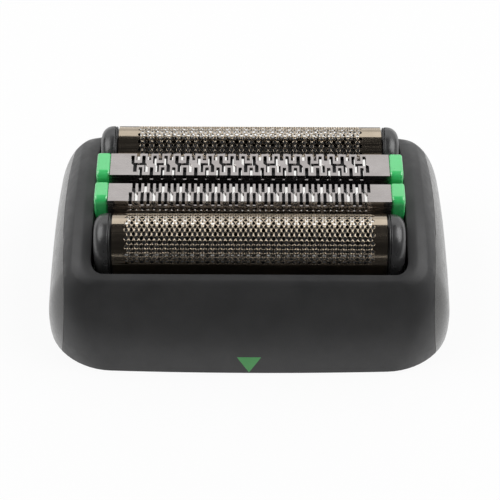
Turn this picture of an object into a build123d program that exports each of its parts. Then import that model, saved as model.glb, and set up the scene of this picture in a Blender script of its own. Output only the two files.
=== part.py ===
from build123d import *
import os
from math import atan2, cos, degrees, pi, sin

# Foil head of an electric shaver. Two foils and two trimmers float side by side in a moulded casing,
# and two bridges underneath push the blades to and fro.
# Millimetres. +X runs along the foils, -Y is the front, +Z is up, the origin is the middle of the base.

# Foils, and the frames that hold them
FOIL_LENGTH = 39.7          # sheet that shows between the two end caps
FOIL_RADIUS = 4.0           # outside of the arch
FOIL_TOP = 21.6             # height of the arch's crown
FOIL_SHEET = 0.1
FOIL_HEM = 11.8             # lower edge of the sheet's straight sides
CAP_LENGTH = 2.3
CAP_ROUND = 1.7             # dome of the caps, drawn in bands
CAP_BANDS = 2
FOOT_LENGTH = 1.0           # low part of each cap that reaches in between the rails
SHEET_FIT = 0.02
FRAME_RAIL = 0.85           # thickness of the side rails
FRAME_RAIL_HEIGHT = 1.5

# Perforation of the foils
PORE_LENGTH = 6.4
PORE_WIDTH = 0.8
PORE_MARGIN = 2.35          # plain ends of the sheet
PORE_COLUMNS = 3
PORE_ROWS = 3
PORE_ROW_ANGLE = 34.0       # degrees of arch between rows

# Trimmer combs: slotted channels, open below
COMB_REACH = 0.6            # how far the combs run past the foils at each end
COMB_REAR_WIDTH = 4.65
COMB_FRONT_WIDTH = 3.7
COMB_DROP = 0.2             # tops of the combs below the foils' crowns
COMB_MARGIN = 2.85          # plain ends of the combs
COMB_WALL_HEIGHT = 3.0
COMB_SHEET = 0.25
SLOT_DROP = 0.9             # how far the open slots run down the walls
FINE_PITCH = 0.85           # slots of the front comb
FINE_SLOT = 0.46
COARSE_PITCH = 3.24         # one H-shaped slot of the rear comb
COARSE_SLOT = 0.5
COARSE_SHIFT = 0.4          # sideways step between the two halves of an H

# Where the slots of the combs end across the width, 1 at the rear edge and -1 at the front edge
FINE_REAR_END = 0.06
FINE_FRONT_END = -0.04
FINE_SLANT = 0.2            # both ends of the slants
COARSE_LEG_REAR = 0.8
COARSE_STEP_REAR = 0.12     # the step of the legs, which the bar of the H covers
COARSE_STEP_FRONT = -0.08
COARSE_LEG_FRONT = -0.7
COARSE_REAR_END = 0.4
COARSE_FRONT_END = -0.28

# Trimmer carriers: a block at each end, joined by two rails
CARRIER_GAP = 1.5           # between the two carriers' blocks
CARRIER_REACH = 0.2         # how far the blocks run past the foils' end caps
CARRIER_BEVEL = 0.3
CARRIER_RAIL = 0.7
CARRIER_RAIL_HEIGHT = 2.8
CARRIER_FOOT_HEIGHT = 5.4
CARRIER_FOOT_LENGTH = 3.2

# How the four rows stand side by side
ROW_GAP = 0.35              # foil to trimmer
MID_GAP = 1.8               # trimmer to trimmer
LIP_GAP = 0.95              # foil to the casing's front and back lips
END_GAP = 0.4               # end cap to the casing's end walls

# Casing
SHOULDER_WIDTH = 7.3        # end of the opening to the widest point of the base
SKIRT_WIDTH = 4.825         # lip to the deepest point of the base
LIP_WIDTH = 1.12            # wall at the top of the front and back
RIM_DROP = 2.4              # crown of the arched end walls below the foils' crowns
RIM_SAG = 3.1               # fall of the rim from there to the front and back lips
LEAN_POWER = 2.0            # how late the faces begin to lean in
LEAN_BANDS = 4              # the lean is drawn in bands, each a little steeper than the one above
CORNER_BASE = 8.6           # plan radius of the corners at the base
CASE_WALL = 1.5
RIM_BEVEL = 0.5
OPENING_ROUND = 1.7
END_WALL = 1.8              # inner end walls, which guide the rows

# Side panels
PANEL_WIDTH = 2.85          # seam to the widest point of the base
SEAM_GAP = 0.12
PANEL_PEG_WIDTH = 1.8
PANEL_PEG_INSET = 2.0       # from the end of the straight flank
PANEL_PEG_DROP = 2.12       # pegs below the roof of the chamber behind the panels
PANEL_PEG_DEPTH = 0.9       # how far the pegs reach into the end walls
PEG_FIT = 0.05
CATCH_LENGTH = 9.5
CATCH_HEIGHT = 3.6
CATCH_LEVEL = 6.9

# Chassis, springs and the travel of the rows
SOCKET_DEPTH = 5.0          # room below the chassis for the shaver's own head
CHASSIS_SHEET = 1.2
CHASSIS_CORNER = 5.0
CHASSIS_MARGIN = 0.65       # to the casing's wall
SPRING_LENGTH = 4.0
SPRING_RADIUS = 1.1         # middle of the wire
SPRING_WIRE = 0.34
SPRING_TURNS = 2
SPRING_SIDES = 6            # straight runs in a turn
SPRING_FIT = 0.06
FLOAT_TRAVEL = 2.0
PEG_WIDTH = 1.1             # pegs that centre the springs
PEG_SHARE = 0.42            # share of the closed spring that each of its two pegs fills
STAKE_WIDTH = 1.2           # heat stakes that hold the chassis to the end walls
STAKE_HEAD = 2.2
STAKE_HEAD_HEIGHT = 0.5
STAKE_FIT = 0.05

# Guides: tongues on the rows run in grooves of the end walls and stop at their closed tops
TONGUE_DEPTH = 0.9
TONGUE_HEIGHT = 2.9
FOIL_TONGUE = 3.0
TRIMMER_TONGUE = 1.6
GUIDE_FIT = 0.15
STOP_GAP = 0.1

# Blades and drive
STROKE = 1.2                # to each side
STROKE_ROOM = 0.35          # left beside the blades at the end of the stroke
BLADE_GAP = 0.05            # between a blade and the sheet it runs under
CUTTER_DEPTH = 0.8          # radial depth of the arched blades
CUTTER_SHEET = 0.3
CUTTER_COUNT = 6
CUTTER_SIDES = 6            # straight runs in an arch
CUTTER_LEG = 2.2            # straight legs below the arch
CUTTER_SEAT = 1.0           # how far the legs reach down the sides of their bar
BAR_HEIGHT = 1.6
TOOTH_COUNT = 7
TOOTH_MARGIN = 0.5          # plain ends of the trimmer blades
TOOTH_WALL = 1.3            # height of the trimmer blade's walls
HOLDER_HEIGHT = 2.0
STEM_LENGTH = 3.2
STEM_WIDTH = 1.5
STEM_FIT = 0.1
BRIDGE_LENGTH = 12.0
BRIDGE_SHEET = 1.25
BRIDGE_MARGIN = 0.85        # beyond the stems' slots
BRIDGE_LIFT = 0.15          # running gap over the chassis
BRIDGE_LEDGE = 0.5          # how far the chassis reaches in under the bridge
STEM_ENGAGEMENT = 1.0       # how deep the stems stand in the bridge
BOSS_LENGTH = 4.4
BOSS_WIDTH = 4.0
BOSS_DROP = 1.1
PIN_LENGTH = 2.2            # socket for the shaver's drive pin
PIN_WIDTH = 2.4
PIN_DEPTH = 2.0
CLIP_LENGTH = 3.0
CLIP_X = 3.6
CLIP_SHEET = 0.8
CLIP_HOOK = 0.5
CLIP_FIT = 0.1

# Places worked out from these sizes
ARCH_CENTRE = FOIL_TOP - FOIL_RADIUS
HEAD_DEPTH = 4 * FOIL_RADIUS + 2 * ROW_GAP + MID_GAP + COMB_REAR_WIDTH + COMB_FRONT_WIDTH
FOIL_REAR_Y = HEAD_DEPTH / 2 - FOIL_RADIUS
FOIL_FRONT_Y = -FOIL_REAR_Y
COMB_REAR_Y = FOIL_REAR_Y - FOIL_RADIUS - ROW_GAP - COMB_REAR_WIDTH / 2
COMB_FRONT_Y = FOIL_FRONT_Y + FOIL_RADIUS + ROW_GAP + COMB_FRONT_WIDTH / 2
MID_Y = (COMB_REAR_Y - COMB_REAR_WIDTH / 2 + COMB_FRONT_Y + COMB_FRONT_WIDTH / 2) / 2

CAP_END = FOIL_LENGTH / 2 + CAP_LENGTH
FOOT_END = FOIL_LENGTH / 2 - FOOT_LENGTH
PORE_PITCH = (FOIL_LENGTH - 2 * PORE_MARGIN) / (PORE_COLUMNS + 1)
COMB_LENGTH = FOIL_LENGTH + 2 * COMB_REACH
COMB_TOP = FOIL_TOP - COMB_DROP
FINE_COUNT = round((COMB_LENGTH - 2 * COMB_MARGIN) / FINE_PITCH)
COARSE_COUNT = round((COMB_LENGTH - 2 * COMB_MARGIN) / COARSE_PITCH)
CARRIER_LENGTH = 2 * (CAP_END + CARRIER_REACH)
OPENING_X = CAP_END + END_GAP
OPENING_Y = HEAD_DEPTH / 2 + LIP_GAP
CASE_X = OPENING_X + SHOULDER_WIDTH
CASE_Y = OPENING_Y + SKIRT_WIDTH
WALL_END = OPENING_X + END_WALL
RIM_PEAK = FOIL_TOP - RIM_DROP
LIP_HEIGHT = RIM_PEAK - RIM_SAG
RIM_RADIUS = (OPENING_Y ** 2 + RIM_SAG ** 2) / (2 * RIM_SAG)
LIP_LEAN = SKIRT_WIDTH - LIP_WIDTH
SEAM_X = CASE_X - PANEL_WIDTH
SEAM_TOP = LIP_HEIGHT * (PANEL_WIDTH / LIP_LEAN) ** (1 / LEAN_POWER)
CHAMBER_TOP = SEAM_TOP - CASE_WALL
PANEL_PEG_HEIGHT = CHAMBER_TOP - PANEL_PEG_DROP
FLANK_Y = CASE_Y - CORNER_BASE

CHASSIS_TOP = SOCKET_DEPTH + CHASSIS_SHEET
ROW_FOOT = CHASSIS_TOP + SPRING_LENGTH
PEG_HEIGHT = (SPRING_LENGTH - FLOAT_TRAVEL) * PEG_SHARE
FOIL_SPRING_X = (FOOT_END + CAP_END) / 2
TRIMMER_SPRING_X = CARRIER_LENGTH / 2 - CARRIER_FOOT_LENGTH / 2
TONGUE_END = CAP_END + TONGUE_DEPTH
GROOVE_TOP = ROW_FOOT + TONGUE_HEIGHT + STOP_GAP
GROOVE_END = TONGUE_END + GUIDE_FIT

BRIDGE_FOOT = CHASSIS_TOP + BRIDGE_LIFT
BRIDGE_TOP = BRIDGE_FOOT + BRIDGE_SHEET
STEM_FOOT = BRIDGE_TOP - STEM_ENGAGEMENT
CUTTER_RADIUS = FOIL_RADIUS - FOIL_SHEET - BLADE_GAP
CUTTER_LENGTH = 2 * (FOIL_LENGTH / 2 - STROKE - STROKE_ROOM)
CUTTER_INSIDE = CUTTER_RADIUS - CUTTER_DEPTH
CUTTER_FOOT = ARCH_CENTRE - CUTTER_LEG
BAR_TOP = CUTTER_FOOT + CUTTER_SEAT
BLADE_LENGTH = COMB_LENGTH - 2 * (STROKE + STROKE_ROOM)
BLADE_TOP = COMB_TOP - COMB_SHEET - BLADE_GAP
TOOTH_PITCH = (BLADE_LENGTH - 2 * TOOTH_MARGIN) / TOOTH_COUNT
CARRIER_RAIL_TOP = COMB_TOP - COMB_WALL_HEIGHT

BASE = (Align.CENTER, Align.CENTER, Align.MIN)
TOP = (Align.CENTER, Align.CENTER, Align.MAX)


def block(x0, x1, y0, y1, z0, z1):
    """A box between two corners."""
    box = Box(x1 - x0, y1 - y0, z1 - z0, align=(Align.MIN, Align.MIN, Align.MIN))
    return Pos(x0, y0, z0) * box


def both_ends(piece):
    """A piece and its mirror image at the other end of the head."""
    return [piece, mirror(piece, about=Plane.YZ)]


def arch_face(radius, foot):
    """Upright arch in the YZ plane: a half circle on straight sides that end at the foot."""
    sides = Polyline((-radius, ARCH_CENTRE), (-radius, foot), (radius, foot), (radius, ARCH_CENTRE))
    crown = ThreePointArc((-radius, ARCH_CENTRE), (0, ARCH_CENTRE + radius), (radius, ARCH_CENTRE))
    return Plane.YZ * make_face(Curve() + [sides, crown])


def arch_bar(radius, foot, x0, x1):
    """That arch drawn out along X."""
    return Pos(x0, 0, 0) * extrude(arch_face(radius, foot), x1 - x0)


# Casing


def lean(z):
    """How far the casing's faces lean in at a height."""
    return LIP_LEAN * (z / LIP_HEIGHT) ** LEAN_POWER


def case_plan(inset):
    """Plan of the casing, drawn in by an inset."""
    return RectangleRounded(2 * (CASE_X - inset), 2 * (CASE_Y - inset), CORNER_BASE - inset)


def case_form():
    """Outer form of the casing: a stack of drafted bands under the arched rim."""
    levels = [RIM_PEAK * band / LEAN_BANDS for band in range(LEAN_BANDS + 1)]
    form = Part()
    for low, high in zip(levels, levels[1:]):
        draft = degrees(atan2(lean(high) - lean(low), high - low))
        form += Pos(0, 0, low) * extrude(case_plan(lean(low)), high - low, taper=draft)
    form &= Pos(0, 0, RIM_PEAK - RIM_RADIUS) * Rot(0, 90, 0) * Cylinder(RIM_RADIUS, 3 * CASE_X)
    return chamfer([edge for edge in form.edges() if on_rim(edge)], RIM_BEVEL)


def case_hollow():
    """Hollow of the casing: the socket below, and a narrower chamber above the ledge for the chassis."""
    socket = extrude(case_plan(CASE_WALL + lean(CHASSIS_TOP)), CHASSIS_TOP)
    chamber = extrude(case_plan(CASE_WALL + lean(CHAMBER_TOP)), CHAMBER_TOP)
    return socket + chamber


def on_rim(edge):
    """True for an edge that lies on the arched rim."""
    middle = edge @ 0.5
    return abs((middle.Y ** 2 + (middle.Z - RIM_PEAK + RIM_RADIUS) ** 2) ** 0.5 - RIM_RADIUS) < 0.01


def case_shell():
    """Hollow casing with its opening and inner end walls, side panels still in one with it."""
    form = case_form()
    opening = extrude(RectangleRounded(2 * OPENING_X, 2 * OPENING_Y, OPENING_ROUND), 2 * RIM_PEAK)
    wall = block(OPENING_X, WALL_END, -CASE_Y, CASE_Y, CHASSIS_TOP, 2 * RIM_PEAK)
    return form - case_hollow() - opening + [form & piece for piece in both_ends(wall)]


def stake_places():
    """Where the heat stakes stand, between the grooves of neighbouring rows."""
    x = (OPENING_X + WALL_END) / 2
    rear = (FOIL_REAR_Y - FOIL_TONGUE / 2 + COMB_REAR_Y + TRIMMER_TONGUE / 2) / 2
    front = (FOIL_FRONT_Y + FOIL_TONGUE / 2 + COMB_FRONT_Y - TRIMMER_TONGUE / 2) / 2
    return [(x, rear), (x, front), (-x, rear), (-x, front)]


def groove(y, width):
    """Guide groove of one row in the right end wall, open below."""
    half = width / 2 + GUIDE_FIT
    return block(OPENING_X - END_GAP, GROOVE_END, y - half, y + half, SOCKET_DEPTH, GROOVE_TOP)


def panel_pegs(width, depth):
    """Pegs that hold the right side panel to the end wall, or the holes for them."""
    start = WALL_END - depth
    length = CASE_X - lean(PANEL_PEG_HEIGHT) - CASE_WALL / 2 - start
    peg = Box(length, width, width, align=(Align.MIN, Align.CENTER, Align.CENTER))
    y = FLANK_Y - PANEL_PEG_INSET
    return [Pos(start, y, PANEL_PEG_HEIGHT) * peg, Pos(start, -y, PANEL_PEG_HEIGHT) * peg]


def make_casing(shell):
    """Casing between the two seams, open behind the panels, with guide grooves and heat stakes."""
    casing = shell & block(-SEAM_X, SEAM_X, -CASE_Y, CASE_Y, 0, FOIL_TOP)
    cuts = [groove(y, width) for y, width in ROWS]
    cuts += panel_pegs(PANEL_PEG_WIDTH + 2 * PEG_FIT, PANEL_PEG_DEPTH + PEG_FIT)
    cuts.append(block(WALL_END, CASE_X, -FLANK_Y, FLANK_Y, 0, CHAMBER_TOP))
    for cut in cuts:
        casing -= both_ends(cut)
    stake = Box(STAKE_WIDTH, STAKE_WIDTH, CHASSIS_SHEET, align=TOP)
    stake += Pos(0, 0, -CHASSIS_SHEET) * Box(STAKE_HEAD, STAKE_HEAD, STAKE_HEAD_HEIGHT, align=TOP)
    return casing + [Pos(x, y, CHASSIS_TOP) * stake for x, y in stake_places()]


def make_side_panel(shell):
    """Right side panel: the end of the shell outside the seam, with its catch window and pegs."""
    panel = shell & block(SEAM_X + SEAM_GAP, 2 * CASE_X, -CASE_Y, CASE_Y, 0, FOIL_TOP)
    low = CATCH_LEVEL - CATCH_HEIGHT / 2
    window = block(SEAM_X, 2 * CASE_X, -CATCH_LENGTH / 2, CATCH_LENGTH / 2, low, low + CATCH_HEIGHT)
    return panel - window + panel_pegs(PANEL_PEG_WIDTH, PANEL_PEG_DEPTH)


# Chassis and drive


def bridge_span(comb_y, foil_y):
    """Lowest and highest Y of a bridge that joins a trimmer's stem to a foil cutter's."""
    reach = STEM_WIDTH / 2 + STEM_FIT + BRIDGE_MARGIN
    return min(comb_y, foil_y) - reach, max(comb_y, foil_y) + reach


def chassis_clip(edge_y, side):
    """Hook over one edge of a bridge. Side is +1 where the bridge lies below the hook in Y."""
    inner = edge_y + side * CLIP_FIT
    outer = inner + side * CLIP_SHEET
    tip = edge_y - side * CLIP_HOOK
    roof = BRIDGE_TOP + CLIP_FIT
    left = CLIP_X - CLIP_LENGTH / 2
    right = CLIP_X + CLIP_LENGTH / 2
    post = block(left, right, min(inner, outer), max(inner, outer), CHASSIS_TOP, roof + CLIP_SHEET)
    return post + block(left, right, min(tip, outer), max(tip, outer), roof, roof + CLIP_SHEET)


def make_chassis():
    """Plate under the rows: spring pegs, stake holes, windows for the drive, clips for the bridges."""
    half_y = CASE_Y - CASE_WALL - lean(CHASSIS_TOP) - CHASSIS_MARGIN
    plate = extrude(RectangleRounded(2 * WALL_END, 2 * half_y, CHASSIS_CORNER), CHASSIS_SHEET)
    chassis = Pos(0, 0, SOCKET_DEPTH) * plate
    hole = Box(STAKE_WIDTH + 2 * STAKE_FIT, STAKE_WIDTH + 2 * STAKE_FIT, 3 * CHASSIS_TOP)
    chassis -= [Pos(x, y, 0) * hole for x, y in stake_places()]
    window_x = BOSS_LENGTH / 2 + STROKE + STROKE_ROOM
    for comb_y, foil_y in DRIVES:
        low, high = bridge_span(comb_y, foil_y)
        chassis -= block(-window_x, window_x, low + BRIDGE_LEDGE, high - BRIDGE_LEDGE, 0, FOIL_TOP)
        for clip in (chassis_clip(low, -1), chassis_clip(high, 1)):
            chassis += both_ends(clip)
    peg = Box(PEG_WIDTH, PEG_WIDTH, PEG_HEIGHT, align=BASE)
    for x, y in SPRING_PLACES.values():
        chassis += Pos(x, y, CHASSIS_TOP) * peg
    return chassis


def make_bridge(comb_y, foil_y):
    """Drive bridge: slots for two stems, and a socket below for the shaver's drive pin."""
    low, high = bridge_span(comb_y, foil_y)
    middle = (comb_y + foil_y) / 2
    bridge = block(-BRIDGE_LENGTH / 2, BRIDGE_LENGTH / 2, low, high, BRIDGE_FOOT, BRIDGE_TOP)
    bridge += Pos(0, middle, BRIDGE_FOOT) * Box(BOSS_LENGTH, BOSS_WIDTH, BOSS_DROP, align=TOP)
    slot = Box(STEM_LENGTH + 2 * STEM_FIT, STEM_WIDTH + 2 * STEM_FIT, 3 * BRIDGE_SHEET)
    bridge -= [Pos(0, y, BRIDGE_TOP) * slot for y in (comb_y, foil_y)]
    return bridge - Pos(0, middle, BRIDGE_FOOT - BOSS_DROP) * Box(PIN_LENGTH, PIN_WIDTH, PIN_DEPTH, align=BASE)


def make_spring():
    """Float spring standing on the chassis, its wire drawn with a few straight runs to the turn."""
    low = CHASSIS_TOP + SPRING_WIRE / 2 + SPRING_FIT
    rise = SPRING_LENGTH - SPRING_WIRE - 2 * SPRING_FIT
    steps = SPRING_TURNS * SPRING_SIDES
    points = []
    for step in range(steps + 1):
        turn = 2 * pi * step / SPRING_SIDES
        points.append((SPRING_RADIUS * cos(turn), SPRING_RADIUS * sin(turn), low + rise * step / steps))
    path = Polyline(*points)
    wire = Plane(origin=path @ 0, x_dir=(1, 0, 0), z_dir=path % 0) * Rectangle(SPRING_WIRE, SPRING_WIRE)
    return sweep(wire, path=path, transition=Transition.RIGHT)


def stem(top):
    """Drive stem from a bridge up to the piece that it pushes."""
    return Pos(0, 0, STEM_FOOT) * Box(STEM_LENGTH, STEM_WIDTH, top - STEM_FOOT, align=BASE)


# Foils and their cutters


def make_foil():
    """Foil: a thin sheet bent to an arch, with staggered rows of pores over the crown."""
    length = FOIL_LENGTH / 2 - SHEET_FIT
    sheet = arch_bar(FOIL_RADIUS, FOIL_HEM, -length, length)
    sheet -= arch_bar(FOIL_RADIUS - FOIL_SHEET, 0, -FOIL_LENGTH, FOIL_LENGTH)
    pore = Pos(0, 0, FOIL_RADIUS) * Box(PORE_LENGTH, PORE_WIDTH, FOIL_RADIUS)
    pores = []
    for row in range(PORE_ROWS):
        angle = PORE_ROW_ANGLE * (row - (PORE_ROWS - 1) / 2)
        columns = PORE_COLUMNS + row % 2
        for column in range(columns):
            x = PORE_PITCH * (column - (columns - 1) / 2)
            pores.append(Pos(x, 0, ARCH_CENTRE) * Rot(angle, 0, 0) * pore)
    return sheet - pores


def end_cap():
    """Cap at the right end of a foil, its dome a quarter circle drawn in drafted bands."""
    low = ROW_FOOT - CAP_ROUND
    cap = arch_bar(FOIL_RADIUS, low, FOIL_LENGTH / 2, CAP_END - CAP_ROUND)
    for band in range(CAP_BANDS):
        near = pi / 2 * band / CAP_BANDS
        far = pi / 2 * (band + 1) / CAP_BANDS
        inset = CAP_ROUND * (1 - cos(near))
        length = CAP_ROUND * (sin(far) - sin(near))
        draft = degrees((near + far) / 2)
        face = arch_face(FOIL_RADIUS - inset, low + inset)
        cap += Pos(CAP_END - CAP_ROUND * (1 - sin(near)), 0, 0) * extrude(face, length, taper=draft)
    return cap & block(0, CASE_X, -CASE_Y, CASE_Y, ROW_FOOT, 2 * FOIL_TOP)


def make_foil_frame():
    """Foil frame: domed end caps, side rails inside the sheet, feet on the springs, guide tongues."""
    inside = FOIL_RADIUS - FOIL_SHEET - SHEET_FIT
    rail_top = FOIL_HEM + FRAME_RAIL_HEIGHT
    tongue_top = ROW_FOOT + TONGUE_HEIGHT
    end = end_cap() + block(FOOT_END, FOIL_LENGTH / 2, -inside, inside, ROW_FOOT, rail_top)
    end += block(CAP_END, TONGUE_END, -FOIL_TONGUE / 2, FOIL_TONGUE / 2, ROW_FOOT, tongue_top)
    end += Pos(FOIL_SPRING_X, 0, ROW_FOOT) * Box(PEG_WIDTH, PEG_WIDTH, PEG_HEIGHT, align=TOP)
    frame = Part() + both_ends(end)
    for y in (-inside, inside - FRAME_RAIL):
        frame += block(-FOOT_END, FOOT_END, y, y + FRAME_RAIL, FOIL_HEM, rail_top)
    return frame


def leaf_line(radius):
    """Outline of an arched leaf: one leg, straight runs round the arch, the other leg."""
    line = [(radius, CUTTER_FOOT)]
    for run in range(CUTTER_SIDES + 1):
        turn = pi * run / CUTTER_SIDES
        line.append((radius * cos(turn), ARCH_CENTRE + radius * sin(turn)))
    return line + [(-radius, CUTTER_FOOT)]


def make_cutter_blades():
    """Undercutter blades: a row of arched leaves, one solid each."""
    outline = Polyline(*leaf_line(CUTTER_RADIUS), *reversed(leaf_line(CUTTER_INSIDE)), close=True)
    leaf = extrude(Plane.YZ * make_face(outline), CUTTER_SHEET / 2, both=True)
    pitch = (CUTTER_LENGTH - 3 * CUTTER_SHEET) / (CUTTER_COUNT - 1)
    places = [pitch * (number - (CUTTER_COUNT - 1) / 2) for number in range(CUTTER_COUNT)]
    return [Pos(x, 0, 0) * leaf for x in places]


def make_cutter_carrier():
    """Bar that the undercutter's leaves straddle, with its drive stem."""
    bar = Pos(0, 0, BAR_TOP) * Box(CUTTER_LENGTH, 2 * CUTTER_INSIDE, BAR_HEIGHT, align=TOP)
    return bar + stem(BAR_TOP - BAR_HEIGHT)


# Trimmers


def channel(length, width, top, wall_height):
    """Sheet folded to a channel, open below."""
    outside = Pos(0, 0, top) * Box(length, width, wall_height, align=TOP)
    inner_width = width - 2 * COMB_SHEET
    return outside - Pos(0, 0, top - COMB_SHEET) * Box(2 * length, inner_width, wall_height, align=TOP)


def slot_run(points, width):
    """Slot that follows a line of points in plan, with square ends across Y."""
    half = width / 2
    right = [(x + half, y) for x, y in points]
    left = [(x - half, y) for x, y in reversed(points)]
    return make_face(Polyline(*right, *left, close=True))


def coarse_slots():
    """Rear comb: H-shaped slots inside, and open slots from both edges between their legs."""
    edge = COMB_REAR_WIDTH / 2
    leg_pitch = COARSE_PITCH / 2
    start = -leg_pitch * (COARSE_COUNT - 0.5) - COARSE_SHIFT / 2
    step_rear = COARSE_STEP_REAR * edge
    step_front = COARSE_STEP_FRONT * edge
    slots = []
    for number in range(2 * COARSE_COUNT):
        x = start + number * leg_pitch
        front_x = x + COARSE_SHIFT
        rear_half = [(x, COARSE_LEG_REAR * edge), (x, step_rear)]
        front_half = [(front_x, step_front), (front_x, COARSE_LEG_FRONT * edge)]
        slots.append(slot_run(rear_half + front_half, COARSE_SLOT))
        if number % 2 == 0:
            bar = Rectangle(leg_pitch, step_rear - step_front)
            slots.append(Pos(x + (leg_pitch + COARSE_SHIFT) / 2, (step_rear + step_front) / 2) * bar)
        if number > 0:
            x -= leg_pitch / 2
            front_x -= leg_pitch / 2
            slots.append(slot_run([(x, 2 * edge), (x, COARSE_REAR_END * edge)], COARSE_SLOT))
            slots.append(slot_run([(front_x, COARSE_FRONT_END * edge), (front_x, -2 * edge)], COARSE_SLOT))
    return slots


def fine_slots():
    """Front comb: open slots from both edges, two of every three joined by a slant across the middle."""
    edge = COMB_FRONT_WIDTH / 2
    start = -FINE_PITCH * (FINE_COUNT - 1) / 2
    slant = FINE_SLANT * edge
    slots = []
    for number in range(FINE_COUNT):
        rear_x = start + number * FINE_PITCH + FINE_PITCH / 4
        front_x = rear_x - FINE_PITCH / 2
        slots.append(slot_run([(rear_x, 2 * edge), (rear_x, FINE_REAR_END * edge)], FINE_SLOT))
        slots.append(slot_run([(front_x, FINE_FRONT_END * edge), (front_x, -2 * edge)], FINE_SLOT))
        if number % 3 == 2:
            slots.append(slot_run([(rear_x, slant), (front_x, -slant)], FINE_SLOT))
        if number % 3 == 0 and number + 1 < FINE_COUNT:
            slots.append(slot_run([(rear_x, slant), (front_x + FINE_PITCH, -slant)], FINE_SLOT))
    return slots


def make_comb(width, slots):
    """Trimmer comb: a channel with its pattern of slots cut through the top and down the walls."""
    comb = channel(COMB_LENGTH, width, COMB_TOP, COMB_WALL_HEIGHT)
    pattern = Sketch() + slots
    return comb - Pos(0, 0, COMB_TOP - SLOT_DROP) * extrude(pattern, 2 * SLOT_DROP)


def blade_width(comb_width):
    """Outside width of the blade that runs in a comb."""
    return comb_width - 2 * (COMB_SHEET + BLADE_GAP)


def make_trimmer_blade(comb_width):
    """Trimmer blade: a smaller channel with teeth across its top."""
    blade = channel(BLADE_LENGTH, blade_width(comb_width), BLADE_TOP, TOOTH_WALL)
    gap = Box(TOOTH_PITCH / 2, comb_width, 2 * SLOT_DROP)
    places = [TOOTH_PITCH * (number - (TOOTH_COUNT - 1) / 2) for number in range(TOOTH_COUNT)]
    return blade - [Pos(x, 0, BLADE_TOP) * gap for x in places]


def make_blade_holder(comb_width):
    """Bar inside the trimmer blade, with its drive stem."""
    top = BLADE_TOP - COMB_SHEET
    width = blade_width(comb_width) - 2 * COMB_SHEET
    length = BLADE_LENGTH - 2 * STROKE
    return Pos(0, 0, top) * Box(length, width, HOLDER_HEIGHT, align=TOP) + stem(top - HOLDER_HEIGHT)


def make_carrier(comb_width, comb_y, inner_side):
    """Trimmer carrier: end blocks beside the comb, rails under its walls, feet on the springs."""
    edge = comb_width / 2
    reach = abs(MID_Y - comb_y) - CARRIER_GAP / 2
    low, high = (-edge, reach) if inner_side > 0 else (-reach, edge)
    end = block(COMB_LENGTH / 2, CARRIER_LENGTH / 2, low, high, ROW_FOOT, COMB_TOP)
    outer = end.faces().sort_by(Axis.X)[-1]
    end = chamfer([side for side in outer.edges() if (side @ 0.5).Z > ROW_FOOT + 0.01], CARRIER_BEVEL)
    foot_x = CARRIER_LENGTH / 2 - CARRIER_FOOT_LENGTH
    end += block(foot_x, COMB_LENGTH / 2, -edge, edge, ROW_FOOT, ROW_FOOT + CARRIER_FOOT_HEIGHT)
    half = TRIMMER_TONGUE / 2
    end += block(CARRIER_LENGTH / 2, TONGUE_END, -half, half, ROW_FOOT, ROW_FOOT + TONGUE_HEIGHT)
    end += Pos(TRIMMER_SPRING_X, 0, ROW_FOOT) * Box(PEG_WIDTH, PEG_WIDTH, PEG_HEIGHT, align=TOP)
    carrier = Part() + both_ends(end)
    rail_foot = CARRIER_RAIL_TOP - CARRIER_RAIL_HEIGHT
    for y in (-edge, edge - CARRIER_RAIL):
        rail = block(-COMB_LENGTH / 2, COMB_LENGTH / 2, y, y + CARRIER_RAIL, rail_foot, CARRIER_RAIL_TOP)
        carrier += rail
    return carrier


# Assembly

ROWS = [
    (FOIL_REAR_Y, FOIL_TONGUE),
    (FOIL_FRONT_Y, FOIL_TONGUE),
    (COMB_REAR_Y, TRIMMER_TONGUE),
    (COMB_FRONT_Y, TRIMMER_TONGUE),
]
DRIVES = [(COMB_REAR_Y, FOIL_REAR_Y), (COMB_FRONT_Y, FOIL_FRONT_Y)]
SPRING_PLACES = {}
for row, x, y in (
    ("foil_front", FOIL_SPRING_X, FOIL_FRONT_Y),
    ("foil_rear", FOIL_SPRING_X, FOIL_REAR_Y),
    ("trimmer_front", TRIMMER_SPRING_X, COMB_FRONT_Y),
    ("trimmer_rear", TRIMMER_SPRING_X, COMB_REAR_Y),
):
    SPRING_PLACES[row + "_left"] = (-x, y)
    SPRING_PLACES[row + "_right"] = (x, y)


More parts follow.
